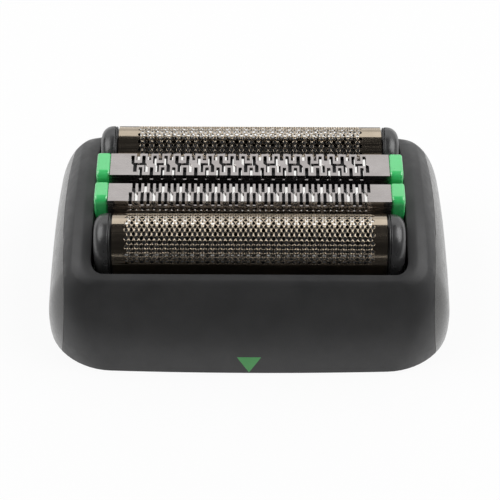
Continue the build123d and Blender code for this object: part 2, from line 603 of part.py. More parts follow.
def make_pieces():
    """Every piece of the head, by name."""
    shell = case_shell()
    panel = make_side_panel(shell)
    pieces = {
        "casing": make_casing(shell),
        "side_panel_right": panel,
        "side_panel_left": mirror(panel, about=Plane.YZ),
        "chassis": make_chassis(),
    }
    foil = make_foil()
    foil_frame = make_foil_frame()
    leaves = make_cutter_blades()
    cutter_carrier = make_cutter_carrier()
    for side, y in (("front", FOIL_FRONT_Y), ("rear", FOIL_REAR_Y)):
        pieces["foil_" + side] = Pos(0, y, 0) * foil
        pieces["foil_frame_" + side] = Pos(0, y, 0) * foil_frame
        pieces["cutter_blades_" + side] = Compound([Pos(0, y, 0) * leaf for leaf in leaves])
        pieces["cutter_carrier_" + side] = Pos(0, y, 0) * cutter_carrier
    for side, y, width, slots, inner_side in (
        ("front", COMB_FRONT_Y, COMB_FRONT_WIDTH, fine_slots(), 1),
        ("rear", COMB_REAR_Y, COMB_REAR_WIDTH, coarse_slots(), -1),
    ):
        pieces["trimmer_comb_" + side] = Pos(0, y, 0) * make_comb(width, slots)
        pieces["trimmer_carrier_" + side] = Pos(0, y, 0) * make_carrier(width, y, inner_side)
        pieces["trimmer_blade_" + side] = Pos(0, y, 0) * make_trimmer_blade(width)
        pieces["blade_holder_" + side] = Pos(0, y, 0) * make_blade_holder(width)
    pieces["drive_bridge_rear"] = make_bridge(COMB_REAR_Y, FOIL_REAR_Y)
    pieces["drive_bridge_front"] = make_bridge(COMB_FRONT_Y, FOIL_FRONT_Y)
    spring = make_spring()
    for place, (x, y) in SPRING_PLACES.items():
        pieces["spring_" + place] = Pos(x, y, 0) * spring
    return pieces


os.makedirs("parts", exist_ok=True)
for name, piece in make_pieces().items():
    export_step(piece, "parts/" + name + ".step")
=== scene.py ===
import bmesh
import bpy
from mathutils import Matrix, Vector
from math import pi, radians, sqrt


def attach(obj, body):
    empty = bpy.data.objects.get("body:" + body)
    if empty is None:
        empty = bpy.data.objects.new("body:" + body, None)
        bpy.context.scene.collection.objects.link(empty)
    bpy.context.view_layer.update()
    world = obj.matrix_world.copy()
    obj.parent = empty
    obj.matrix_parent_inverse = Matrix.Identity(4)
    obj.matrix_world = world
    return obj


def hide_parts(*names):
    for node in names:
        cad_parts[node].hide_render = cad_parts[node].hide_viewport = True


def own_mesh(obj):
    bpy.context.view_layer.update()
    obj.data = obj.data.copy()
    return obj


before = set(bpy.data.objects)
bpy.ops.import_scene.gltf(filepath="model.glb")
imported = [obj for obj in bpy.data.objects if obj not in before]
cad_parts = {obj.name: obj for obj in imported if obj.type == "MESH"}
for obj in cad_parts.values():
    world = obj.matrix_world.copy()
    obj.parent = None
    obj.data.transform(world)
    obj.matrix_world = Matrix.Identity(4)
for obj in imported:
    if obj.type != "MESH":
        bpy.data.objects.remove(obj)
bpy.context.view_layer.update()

# Looks of a shaver foil head. Pieces are modelled in millimetres, in the CAD's frame, and brought
# to metres when they are handed over to their body: +X runs along the foils, -Y is the front, +Z is up.

MM = 0.001
HEAD_MIDDLE = Vector((0, 0, 0.015))     # metres, where the lamps aim
CAMERA_AIM = 0.00645                    # metres above the floor
CAMERA_REACH = 0.282                    # metres from there
CAMERA_ROLL = radians(0.25)

# Rows: foils outside, trimmers between them
FOIL_Y = {"front": -9.425, "rear": 9.425}
COMB_Y = {"front": -3.225, "rear": 2.75}
COMB_WIDTH = {"front": 3.7, "rear": 4.65}
COMB_TOP = 21.4
COMB_SHEET = 0.25
SLOT_FLOOR = COMB_TOP - 0.9     # of the slots that run down the rear wall
SLOTS_END = 18.5
DIMPLE_COUNT = 41
DIMPLE_PITCH = 0.85
DIMPLE_START = -17.21
DIMPLE_RADIUS = 0.14
DIMPLE_DROP = 1.84
TOOTH_COUNT = 29
TOOTH_PITCH = 1.275
TOOTH_START = -17.6375
TOOTH_HALF = 0.22
LEG_HALF = 0.2
BLADE_WALL_END = 18.9
BLADE_GAP = 0.06                # beside the comb's walls
BLADE_TOP = COMB_TOP - COMB_SHEET - 0.05
BLOCK_START = 20.45
BLOCK_END = 22.45
BLOCK_TOP = 21.55
BLOCK_Y = {"front": (-4.95, -1.1), "rear": (0.4, 5.2)}
BLOCK_ROUND = 0.4
BLOCK_BROW = 1.1                # round of the upper front edge
ROW_FOOT = 10.2
CHASSIS_TOP = 6.2
TONGUE_END = 23.05
TONGUE_TOP = 13.1
RAIL_END = 18.9
RAIL_TOP = 13.3
RAIL_Y = 3.455
RAIL_HALF = 0.425
SPRING_X = {"foil": 20.5, "trimmer": 20.75}
COIL_RADIUS = 1.1
COIL_RISE = 0.875
COIL_TURNS = 4
COIL_START = 6.45
WIRE_RADIUS = 0.17

# Foils
FOIL_RADIUS = 4.0
FOIL_TOP = 21.6
FOIL_END = 19.55
FOIL_HEM = 11.8
FOIL_SHEET = 0.1
ARCH_CENTRE = FOIL_TOP - FOIL_RADIUS
HOLE_PITCH = 0.72
HOLE_COLUMNS = {"front": 49, "rear": 46}
HOLE_ROWS = 22
HOLE_MERGE = 0.004
WEB_CROWN = (0.05, 0.002)       # width and drop of the webs' flat tops
WEB_EDGE = {"front": 0.027, "rear": 0.019}
WEB_DROP = {"front": 0.039, "rear": 0.041}
CAP_START = 20.1
CAP_END = 22.25
CAP_ROUND = 1.7
CAP_GROOVE = 0.45
CAP_LIP = (19.86, 20.0, 0.04)   # start, end and drop below the foil
LEAF_COUNT = 27
LEAF_PITCH = 1.33
LEAF_HALF = 0.36
LEAF_DEPTH = 0.8
LEAF_FOOT = 15.4
LEAF_GAP = 0.06                 # below the foil

# Casing: outlines as half width, half depth and corner radius
OPENING = (22.55, 14.375, 1.7)
SOCKET = (27.8, 17.15, 6.55)
BASE = (29.85, 19.2, 9.25)
RIM_PEAK = 19.2
RIM_SAG = 3.1
RIM_RADIUS = (OPENING[1] ** 2 + RIM_SAG ** 2) / (2 * RIM_SAG)
LIP_HEIGHT = RIM_PEAK - RIM_SAG
LIP_WIDTH = 1.0
LEAN_POWER = 1.66
CORNER_TOP = 3.0
SHOULDER_FOOT = 0.92
SHOULDER_RISE = 18.98
SHOULDER_TOP_X = 22.2
SHOULDER_POWER = 2.23
SEAM_X = 27.35
SEAM_BOW = 0.8 / 14 ** 2
SEAM_LEAN = 0.09
SEAM_LEVEL = 14.0
SEAM_GAP = 0.04
WALL_END = 24.35
CHAMBER_HALF = 10.6
CHAMBER_TOP = 12.62
GROOVE_X = (20, 23.2)
GROOVE_TOP = 13.2
GROOVE_WIDTH = {"foil": 3.3, "trimmer": 1.9}
STAKE_X = 23.45
STAKE_Y = (5.7375, -5.975)
STAKE_HALF = 0.6
STAKE_HEAD_HALF = 1.1
CATCH_HALF = 4.75
CATCH_Z = (5.1, 8.7)
PEG_Y = 8.6
PEG_HALF = 0.9
PEG_Z = (9.6, 11.4)
FAR = 40                        # well past the casing, for cutting tools


# Working in edit mode


def edit(piece):
    """Opens one piece in edit mode, with nothing selected."""
    if bpy.context.mode != "OBJECT":
        bpy.ops.object.mode_set(mode="OBJECT")
    bpy.ops.object.select_all(action="DESELECT")
    piece.select_set(True)
    bpy.context.view_layer.objects.active = piece
    bpy.ops.object.mode_set(mode="EDIT")
    bpy.ops.mesh.select_all(action="DESELECT")


def close():
    """Back to object mode."""
    bpy.ops.object.mode_set(mode="OBJECT")


def added(name):
    """Names the primitive that was just added."""
    piece = bpy.context.object
    piece.name = name
    return piece


def middle(part):
    """Middle of an edge or face, or the place of a vertex."""
    if isinstance(part, bmesh.types.BMVert):
        return part.co
    if isinstance(part, bmesh.types.BMEdge):
        return (part.verts[0].co + part.verts[1].co) / 2
    return part.calc_center_median()


def pick(piece, kind, test):
    """In edit mode, selects the vertices, edges or faces whose middle passes a test."""
    bpy.ops.mesh.select_mode(type=kind)
    bpy.ops.mesh.select_all(action="DESELECT")
    mesh = bmesh.from_edit_mesh(piece.data)
    parts = {"VERT": mesh.verts, "EDGE": mesh.edges, "FACE": mesh.faces}[kind]
    for part in parts:
        part.select_set(bool(test(part, middle(part))))
    mesh.select_flush_mode()
    bmesh.update_edit_mesh(piece.data)


def push(x=0.0, y=0.0, z=0.0):
    """Extrudes the selected faces and moves them."""
    bpy.ops.mesh.extrude_region_move(TRANSFORM_OT_translate={"value": (x, y, z)})


def push_edges(x=0.0, y=0.0, z=0.0):
    """Extrudes the selected edges and moves them."""
    bpy.ops.mesh.extrude_edges_move(TRANSFORM_OT_translate={"value": (x, y, z)})


def modify(piece, kind, **settings):
    """Adds one modifier and applies it."""
    modifier = piece.modifiers.new(kind.lower(), kind)
    for key, value in settings.items():
        setattr(modifier, key, value)
    with bpy.context.temp_override(object=piece, active_object=piece, selected_objects=[piece]):
        bpy.ops.object.modifier_apply(modifier=modifier.name)


def cut(piece, tool, operation="DIFFERENCE"):
    """Cuts a piece with another one, which is used up."""
    modify(piece, "BOOLEAN", object=tool, operation=operation, solver="EXACT")
    bpy.data.objects.remove(tool)


def repeat(piece, count, step, **settings):
    """Repeats a piece, each time one step further."""
    modify(piece, "ARRAY", count=count, use_relative_offset=False, use_constant_offset=True,
           constant_offset_displace=step, **settings)


def join(name, pieces):
    """Several pieces as one."""
    bpy.ops.object.select_all(action="DESELECT")
    for piece in pieces:
        piece.select_set(True)
    bpy.context.view_layer.objects.active = pieces[0]
    bpy.ops.object.join()
    return added(name)


def block(name, x0, x1, y0, y1, z0, z1, bevel=0.0, segments=2):
    """A block between two corners, with its edges bevelled."""
    bpy.ops.object.select_all(action="DESELECT")
    bpy.ops.mesh.primitive_cube_add(size=1, location=((x0 + x1) / 2, (y0 + y1) / 2, (z0 + z1) / 2))
    piece = added(name)
    piece.scale = (x1 - x0, y1 - y0, z1 - z0)
    bpy.ops.object.transform_apply(location=True, rotation=True, scale=True)
    if bevel:
        edit(piece)
        bpy.ops.mesh.select_all(action="SELECT")
        bpy.ops.mesh.bevel(offset=bevel, segments=segments, affect="EDGES")
        close()
    return piece


def mirrored(piece):
    """A piece joined with its mirror image at the other end of the head."""
    modify(piece, "MIRROR", use_axis=(True, False, False), use_mirror_merge=False)
    edit(piece)
    bpy.ops.mesh.select_all(action="SELECT")
    bpy.ops.mesh.normals_make_consistent(inside=False)
    close()
    return piece


def cad_copy(node, name):
    """A copy of a CAD node in millimetres, its loose triangles merged into whole faces."""
    bpy.ops.object.select_all(action="DESELECT")
    piece = bpy.data.objects.new(name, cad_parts[node].data.copy())
    bpy.context.scene.collection.objects.link(piece)
    edit(piece)
    bpy.ops.mesh.customdata_custom_splitnormals_clear()
    bpy.ops.mesh.select_all(action="SELECT")
    bpy.ops.transform.resize(value=(1 / MM, 1 / MM, 1 / MM), center_override=(0, 0, 0))
    bpy.ops.mesh.remove_doubles(threshold=0.0005)
    bpy.ops.mesh.dissolve_limited(angle_limit=radians(0.5))
    close()
    return piece


def hand_over(piece, body, slot, finish, *nodes, angle=35, flatness=50):
    """Brings a finished piece to metres at the origin, and puts it on its body for CAD nodes."""
    bpy.ops.object.select_all(action="DESELECT")
    piece.select_set(True)
    bpy.context.view_layer.objects.active = piece
    bpy.ops.object.transform_apply(location=True, rotation=True, scale=True)
    piece.scale = (MM, MM, MM)
    bpy.ops.object.transform_apply(location=True, rotation=True, scale=True)
    bpy.ops.object.shade_smooth_by_angle(angle=radians(angle))
    modify(piece, "WEIGHTED_NORMAL", keep_sharp=True, weight=flatness)
    piece.data.materials.clear()
    piece.data.materials.append(finish)
    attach(piece, body)
    if nodes:
        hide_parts(*nodes)
    return piece


# Finishes


class Finish:
    """A material with its shader, Object coordinates and links, and the patterns that finishes share."""

    def __init__(self, name, roughness, metallic=0.0):
        self.material = bpy.data.materials.new(name)
        self.material.use_nodes = True
        self.nodes = self.material.node_tree.nodes
        self.links = self.material.node_tree.links
        self.shader = self.nodes["Principled BSDF"]
        self.shader.inputs["Roughness"].default_value = roughness
        self.shader.inputs["Metallic"].default_value = metallic
        self.place = self.nodes.new("ShaderNodeTexCoord").outputs["Object"]

    def noise(self, scale, detail=4.0, stretch=(1, 1, 1)):
        """Noise on the piece, stretched along an axis where the stretch is small."""
        mapping = self.nodes.new("ShaderNodeMapping")
        mapping.inputs["Scale"].default_value = stretch
        texture = self.nodes.new("ShaderNodeTexNoise")
        texture.inputs["Scale"].default_value = scale
        texture.inputs["Detail"].default_value = detail
        self.links.new(self.place, mapping.inputs["Vector"])
        self.links.new(mapping.outputs["Vector"], texture.inputs["Vector"])
        return texture.outputs["Fac"]

    def colours(self, pattern, dark, light, low=0.35, high=0.65):
        """Base colour that wanders between two shades."""
        ramp = self.nodes.new("ShaderNodeValToRGB")
        ramp.color_ramp.elements[0].position = low
        ramp.color_ramp.elements[0].color = (*dark, 1)
        ramp.color_ramp.elements[1].position = high
        ramp.color_ramp.elements[1].color = (*light, 1)
        self.links.new(pattern, ramp.inputs["Fac"])
        self.links.new(ramp.outputs["Color"], self.shader.inputs["Base Color"])

    def gloss(self, pattern, smooth, rough):
        """Roughness that wanders between two values."""
        spread = self.nodes.new("ShaderNodeMapRange")
        spread.inputs["From Min"].default_value = 0.3
        spread.inputs["From Max"].default_value = 0.7
        spread.inputs["To Min"].default_value = smooth
        spread.inputs["To Max"].default_value = rough
        self.links.new(pattern, spread.inputs["Value"])
        self.links.new(spread.outputs["Result"], self.shader.inputs["Roughness"])

    def relief(self, pattern, depth, strength=0.5):
        """Bump from a pattern, its depth in millimetres."""
        bump = self.nodes.new("ShaderNodeBump")
        bump.inputs["Strength"].default_value = strength
        bump.inputs["Distance"].default_value = depth * MM
        self.links.new(pattern, bump.inputs["Height"])
        self.links.new(bump.outputs["Normal"], self.shader.inputs["Normal"])


def moulded(name, dark, light, roughness, grain, depth, ior=1.5, coat=0.0):
    """Moulded plastic: slight drift of shade and gloss, and the fine grain of the mould."""
    finish = Finish(name, roughness)
    finish.shader.inputs["IOR"].default_value = ior
    finish.shader.inputs["Coat Weight"].default_value = coat
    finish.shader.inputs["Coat IOR"].default_value = ior
    finish.shader.inputs["Coat Roughness"].default_value = 0.25
    finish.colours(finish.noise(220), dark, light)
    finish.gloss(finish.noise(900), roughness - 0.05, roughness + 0.06)
    finish.relief(finish.noise(grain, detail=6), depth)
    return finish.material


def ground_steel(name, dark, light, roughness, depth, stretch):
    """Steel with fine grinding lines along the stretched axis."""
    finish = Finish(name, roughness, metallic=1.0)
    finish.colours(finish.noise(350), dark, light)
    lines = finish.noise(5000, detail=3, stretch=stretch)
    finish.gloss(lines, roughness - 0.06, roughness + 0.08)
    finish.relief(lines, depth, strength=0.3)
    return finish.material


CHARCOAL = moulded("charcoal_plastic", (0.037, 0.037, 0.038), (0.045, 0.045, 0.046), 0.46, 6000, 0.03)
# The side panels' plastic is the casing's, set a little lighter and warmer: partly its own fine grain,
# partly painted sheen for the bright reflection the panels catch at a grazing angle.
PANEL_WITH_PAINTED_SHEEN = moulded("textured_panel_plastic_painted_sheen", (0.040, 0.039, 0.037), (0.050, 0.049, 0.046),
                0.22, 5200, 0.025, ior=1.8)
SATIN_BLACK = moulded("satin_black_plastic", (0.032, 0.032, 0.0325), (0.038, 0.038, 0.039),
                      0.3, 7000, 0.015, ior=1.75)
CHASSIS = moulded("dark_chassis_plastic", (0.02, 0.02, 0.021), (0.028, 0.028, 0.03), 0.5, 5000, 0.03)
GREEN = moulded("green_plastic", (0.045, 0.66, 0.165), (0.055, 0.70, 0.185),
                0.32, 5000, 0.01, ior=1.75, coat=1.0)
ACETAL = moulded("pale_acetal", (0.62, 0.62, 0.6), (0.7, 0.7, 0.68), 0.42, 4000, 0.02)
HOLDER = moulded("dark_holder_plastic", (0.010, 0.010, 0.0105), (0.014, 0.014, 0.015), 0.5, 4000, 0.02)
PRINT = moulded("green_print", (0.10, 0.43, 0.13), (0.12, 0.47, 0.15), 0.5, 6000, 0.01)
FOIL_STEEL = ground_steel("foil_steel", (0.53, 0.45, 0.35), (0.60, 0.51, 0.40),
                          0.16, 0.003, (0.02, 1, 1))
COMB_STEEL = ground_steel("comb_steel", (0.44, 0.41, 0.40), (0.50, 0.47, 0.46),
                          0.24, 0.004, (0.02, 1, 1))
BLADE_STEEL_AND_DIMPLE_GLINT = ground_steel("blade_steel", (0.90, 0.89, 0.86), (0.96, 0.95, 0.93),
                           0.14, 0.004, (1, 0.02, 1))
WIRE = ground_steel("spring_wire", (0.5, 0.5, 0.5), (0.6, 0.6, 0.6), 0.3, 0.004, (1, 1, 0.05))


# Casing and side panels


def rim_height(y):
    """Height of the arched rim at a depth."""
    return RIM_PEAK - RIM_RADIUS + sqrt(RIM_RADIUS ** 2 - y ** 2)


def half_width(z):
    """Half width of the casing: the shoulders roll over like a quarter of an ellipse."""
    rise = max(0.0, (z - SHOULDER_FOOT) / SHOULDER_RISE)
    roll = (1 - rise ** SHOULDER_POWER) ** (1 / SHOULDER_POWER)
    return SHOULDER_TOP_X + (BASE[0] - SHOULDER_TOP_X) * roll


def half_depth(share):
    """Half depth of the casing at a share of the rim's height."""
    lean = BASE[1] - OPENING[1] - LIP_WIDTH
    depth = BASE[1]
    for _ in range(12):
        depth = BASE[1] - lean * (share * rim_height(depth) / LIP_HEIGHT) ** LEAN_POWER
    return depth


def skirt(share):
    """Outline of the casing's outside at a share of the rim's height."""
    corner = BASE[2] + (CORNER_TOP - BASE[2]) * share
    return half_width(share * RIM_PEAK), half_depth(share), corner, share


def casing_outlines():
    """Outlines from the base up the outside, over the lip and into the opening. Each is half width,
    half depth, corner radius and height as a share of the arched rim's."""
    shares = (0.1, 0.2, 0.3, 0.4, 0.5, 0.58, 0.66, 0.73, 0.79, 0.84, 0.885, 0.92, 0.945, 0.962, 0.976)
    half_x, half_y, corner, _ = skirt(1.0)
    inner_x, inner_y, _ = OPENING
    lines = [(*BASE, 0.014)]
    lines += [skirt(share) for share in shares]
    lines += [(half_x - 0.14, half_y - 0.07, corner, 0.9885),
              (half_x - 0.45, half_y - 0.2, corner, 0.9965),
              (half_x - 0.85, half_y - 0.4, corner - 0.2, 1.0)]
    lines += [(inner_x + 0.34, inner_y + 0.28, 2.0, 1.0),
              (inner_x + 0.1, inner_y + 0.09, 1.8, 0.995),
              (*OPENING, 0.982)]
    return lines


def outline_place(start, line):
    """Where a point of the base outline goes on another outline: corners keep their arc."""
    half_x, half_y, corner, _ = line
    place = []
    for value, base, half in ((start.x, BASE[0], half_x), (start.y, BASE[1], half_y)):
        straight = base - BASE[2]
        along = min(abs(value), straight) / straight * (half - corner)
        along += max(abs(value) - straight, 0.0) / BASE[2] * corner
        place.append(along if value > 0 else -along)
    return place


def bowed(x, y, half_x, half_y, bow):
    """A point of an outline drawn in towards the corners, so that the sides bow."""
    return (x * (1 - bow * 0.5 / half_x * (y / half_y) ** 2),
            y * (1 - bow * 0.75 / half_y * (x / half_x) ** 2))


def move_outline(piece, starts, line, bow, arched):
    """Moves the selected end face of a growing form onto an outline."""
    mesh = bmesh.from_edit_mesh(piece.data)
    face = next(face for face in mesh.faces if face.select)
    for start, vert in zip(starts, face.verts):
        x, y = outline_place(start, line)
        x, y = bowed(x, y, line[0], line[1], bow)
        vert.co = (x, y, line[3] * rim_height(y) if arched else line[3])
    bmesh.update_edit_mesh(piece.data)


def case_form(name):
    """Casing with its side panels: an outline drawn up the outside, over the lip and down inside."""
    bpy.ops.object.select_all(action="DESELECT")
    bpy.ops.mesh.primitive_plane_add(size=2)
    piece = added(name)
    piece.scale = (BASE[0], BASE[1], 1)
    bpy.ops.object.transform_apply(scale=True)
    edit(piece)
    bpy.ops.mesh.select_all(action="SELECT")
    bpy.ops.mesh.bevel(offset=BASE[2], segments=14, affect="VERTICES")
    pick(piece, "EDGE", lambda edge, at: edge.calc_length() > 5)
    bpy.ops.mesh.subdivide(number_cuts=13)
    pick(piece, "FACE", lambda face, at: True)
    mesh = bmesh.from_edit_mesh(piece.data)
    starts = [vert.co.copy() for vert in next(iter(mesh.faces)).verts]
    move_outline(piece, starts, (BASE[0] - 0.25, BASE[1] - 0.25, BASE[2], 0.0), 1, False)
    for line in casing_outlines():
        push()
        move_outline(piece, starts, line, 1 - line[3], True)
    for line in ((*OPENING, CHASSIS_TOP), (*SOCKET, CHASSIS_TOP), (*SOCKET, 0.25),
                 (SOCKET[0] + 0.2, SOCKET[1] + 0.2, SOCKET[2], 0.0)):
        push()
        move_outline(piece, starts, line, 0.0, False)
    pick(piece, "FACE", lambda face, at: len(face.verts) > 4)
    bpy.ops.mesh.delete(type="ONLY_FACE")
    pick(piece, "EDGE", lambda edge, at: edge.is_boundary)
    bpy.ops.mesh.bridge_edge_loops()
    bpy.ops.mesh.select_all(action="SELECT")
    bpy.ops.mesh.normals_make_consistent(inside=False)
    close()
    return piece


def seam_x(y, z):
    """Where the seam of a side panel lies: it bows with the side and leans in towards the top."""
    return SEAM_X - SEAM_BOW * y ** 2 - SEAM_LEAN * (z - SEAM_LEVEL)


def seam_tool(name, x0, x1, gap):
    """A large block for cutting along the seams, with each end that is near a seam bent to its line."""
    tool = block(name, x0, x1, -25, 25, -5, 30)
    edit(tool)
    pick(tool, "FACE", lambda face, at: abs(face.normal.x) > 0.9)
    bpy.ops.mesh.subdivide(number_cuts=24)
    mesh = bmesh.from_edit_mesh(tool.data)
    for vert in mesh.verts:
        if abs(abs(vert.co.x) - SEAM_X) < 0.01:
            reach = seam_x(vert.co.y, vert.co.z) + gap
            vert.co.x = reach if vert.co.x > 0 else -reach
    bmesh.update_edit_mesh(tool.data)
    close()
    return tool


def make_casing():
    """Casing between the seams, hollow behind the panels, with grooves for the rows and heat stakes."""
    casing = case_form("casing_shell")
    cut(casing, seam_tool("ends", -SEAM_X, SEAM_X, 0.0), "INTERSECT")
    tools = [block("chamber", WALL_END, FAR, -CHAMBER_HALF, CHAMBER_HALF, -5, CHAMBER_TOP)]
    for row, places in (("foil", FOIL_Y), ("trimmer", COMB_Y)):
        half = GROOVE_WIDTH[row] / 2
        for y in (places["front"], places["rear"]):
            tools.append(block("groove", *GROOVE_X, y - half, y + half, 0, GROOVE_TOP))
    for tool in tools:
        cut(casing, mirrored(tool))
    stakes = []
    for y in STAKE_Y:
        for name, half, low, high, bevel in (("stake", STAKE_HALF, 4.9, 6.3, 0.0),
                                             ("stake_head", STAKE_HEAD_HALF, 4.5, 5.0, 0.2)):
            stakes.append(block(name, STAKE_X - half, STAKE_X + half, y - half, y + half,
                                low, high, bevel, 3))
    casing = join("casing_shell", [casing] + [mirrored(stake) for stake in stakes])
    return hand_over(casing, "casing", "casing_plastic", CHARCOAL, "casing")


def make_side_panel(side):
    """One side panel: the end of the casing's form outside the seam, with the catch window and pegs."""
    panel = case_form("side_panel_" + side + "_shell")
    cut(panel, seam_tool("end", SEAM_X, FAR, SEAM_GAP), "INTERSECT")
    cut(panel, block("window", 20, FAR, -CATCH_HALF, CATCH_HALF, *CATCH_Z, 0.3))
    pegs = [block("peg", WALL_END, 27.5, y - PEG_HALF, y + PEG_HALF, *PEG_Z) for y in (-PEG_Y, PEG_Y)]
    panel = join("side_panel_" + side + "_shell", [panel] + pegs)
    if side == "left":
        edit(panel)
        bpy.ops.mesh.select_all(action="SELECT")
        bpy.ops.transform.resize(value=(-1, 1, 1), center_override=(0, 0, 0))
        bpy.ops.mesh.flip_normals()
        close()
    return hand_over(panel, "casing", "panel_plastic", PANEL_WITH_PAINTED_SHEEN, "side_panel_" + side)


def make_triangle(casing):
    """Small green triangle printed on the front face, wrapped onto it."""
    bpy.ops.object.select_all(action="DESELECT")
    bpy.ops.mesh.primitive_circle_add(vertices=3, radius=1, fill_type="TRIFAN",
                                      rotation=(pi / 2, pi, 0))
    triangle = added("front_triangle")
    triangle.scale = (2.02, 1.97, 1)
    triangle.location = (0, -20, 2.32)
    bpy.ops.object.transform_apply(location=True, rotation=True, scale=True)
    edit(triangle)
    bpy.ops.mesh.select_all(action="SELECT")
    bpy.ops.mesh.subdivide(number_cuts=7)
    bpy.ops.transform.resize(value=(MM, MM, MM), center_override=(0, 0, 0))
    close()
    modify(triangle, "SHRINKWRAP", target=casing, wrap_method="PROJECT", use_project_y=True,
           use_positive_direction=True, use_negative_direction=True, offset=0.000005)
    edit(triangle)
    bpy.ops.mesh.select_all(action="SELECT")
    bpy.ops.transform.resize(value=(1 / MM, 1 / MM, 1 / MM), center_override=(0, 0, 0))
    close()
    modify(triangle, "SOLIDIFY", thickness=0.02, offset=-1)
    return hand_over(triangle, "casing", "carrier_plastic", PRINT)


# Foils, their frames and cutters


def make_foil(side):
    """Perforated foil: a pierced cell repeated flat, given margins, bent to an arch and thickened."""
    row_pitch = HOLE_PITCH * sqrt(3) / 2
    bpy.ops.object.select_all(action="DESELECT")
    bpy.ops.mesh.primitive_circle_add(vertices=6, radius=HOLE_PITCH / sqrt(3), fill_type="NGON")
    foil = added("foil_sheet_" + side)
    edit(foil)
    bpy.ops.mesh.select_all(action="SELECT")
    bpy.ops.mesh.inset(thickness=WEB_CROWN[0])
    bpy.ops.transform.translate(value=(0, 0, -WEB_CROWN[1]))
    bpy.ops.mesh.bevel(offset=0.1, segments=1, affect="VERTICES")
    bpy.ops.mesh.select_all(action="DESELECT")
    bpy.ops.mesh.select_face_by_sides(number=12, type="EQUAL")
    bpy.ops.mesh.inset(thickness=WEB_EDGE[side])
    bpy.ops.transform.translate(value=(0, 0, -WEB_DROP[side]))
    close()
    merge = {"use_merge_vertices": True, "merge_threshold": HOLE_MERGE}
    columns = HOLE_COLUMNS[side]
    repeat(foil, columns, (HOLE_PITCH, 0, 0), **merge)
    repeat(foil, 2, (HOLE_PITCH / 2, row_pitch, 0), **merge)
    repeat(foil, HOLE_ROWS // 2, (0, 2 * row_pitch, 0), **merge)
    edit(foil)
    bpy.ops.mesh.select_all(action="SELECT")
    bpy.ops.mesh.remove_doubles(threshold=HOLE_MERGE)
    shift_x = -HOLE_PITCH * (columns - 0.5) / 2
    shift_y = -row_pitch * (HOLE_ROWS - 1) / 2
    bpy.ops.transform.translate(value=(shift_x, shift_y, 0))
    reach_x = HOLE_PITCH * columns / 2
    reach_y = -shift_y + HOLE_PITCH / sqrt(3)
    leg = ARCH_CENTRE - FOIL_HEM
    half_sheet = FOIL_RADIUS * pi / 2 + leg
    straight = leg / (2 * half_sheet)
    for way in (-1, 1):
        pick(foil, "EDGE",
             lambda edge, at: edge.is_boundary and at.x * way > reach_x - HOLE_PITCH / 2)
        push_edges()
        bpy.ops.transform.resize(value=(0, 1, 1), center_override=(way * FOIL_END, 0, 0))
    for way in (-1, 1):
        pick(foil, "EDGE", lambda edge, at: edge.is_boundary and at.y * way > reach_y - 0.3)
        for reach in (reach_y + 0.12, half_sheet):
            push_edges()
            bpy.ops.transform.resize(value=(1, 0, 1), center_override=(0, way * reach, 0))
    bpy.ops.mesh.select_all(action="DESELECT")
    bpy.ops.mesh.select_face_by_sides(number=12, type="EQUAL")
    bpy.ops.mesh.delete(type="ONLY_FACE")
    bpy.ops.mesh.select_all(action="SELECT")
    bpy.ops.transform.rotate(value=-pi / 2, orient_axis="X", center_override=(0, 0, 0))
    close()
    modify(foil, "SIMPLE_DEFORM", deform_method="BEND", deform_axis="X", angle=pi,
           limits=(straight, 1 - straight))
    edit(foil)
    bpy.ops.mesh.select_all(action="SELECT")
    bpy.ops.transform.rotate(value=pi / 2, orient_axis="X", center_override=(0, 0, 0))
    bpy.ops.transform.translate(value=(0, FOIL_Y[side], FOIL_TOP))
    close()
    modify(foil, "SOLIDIFY", thickness=FOIL_SHEET, offset=-1)
    return hand_over(foil, "foil_" + side, "foil_steel", FOIL_STEEL, "foil_" + side,
                     angle=60, flatness=100)


def arch_end(name, radius, foot, x0, x1):
    """An arch drawn out along X: a half circle on straight sides."""
    bpy.ops.object.select_all(action="DESELECT")
    bpy.ops.mesh.primitive_circle_add(vertices=64, radius=radius, fill_type="NOTHING",
                                      location=(x0, 0, ARCH_CENTRE), rotation=(pi / 2, 0, pi / 2))
    piece = added(name)
    bpy.ops.object.transform_apply(location=True, rotation=True, scale=True)
    edit(piece)
    pick(piece, "VERT", lambda vert, at: at.z < ARCH_CENTRE - 0.001)
    bpy.ops.mesh.delete(type="VERT")
    pick(piece, "VERT", lambda vert, at: at.z < ARCH_CENTRE + 0.001)
    bpy.ops.mesh.extrude_vertices_move(TRANSFORM_OT_translate={"value": (0, 0, foot - ARCH_CENTRE)})
    bpy.ops.mesh.select_all(action="SELECT")
    bpy.ops.mesh.edge_face_add()
    push(x=x1 - x0)
    bpy.ops.mesh.select_all(action="SELECT")
    bpy.ops.mesh.normals_make_consistent(inside=False)
    close()
    return piece


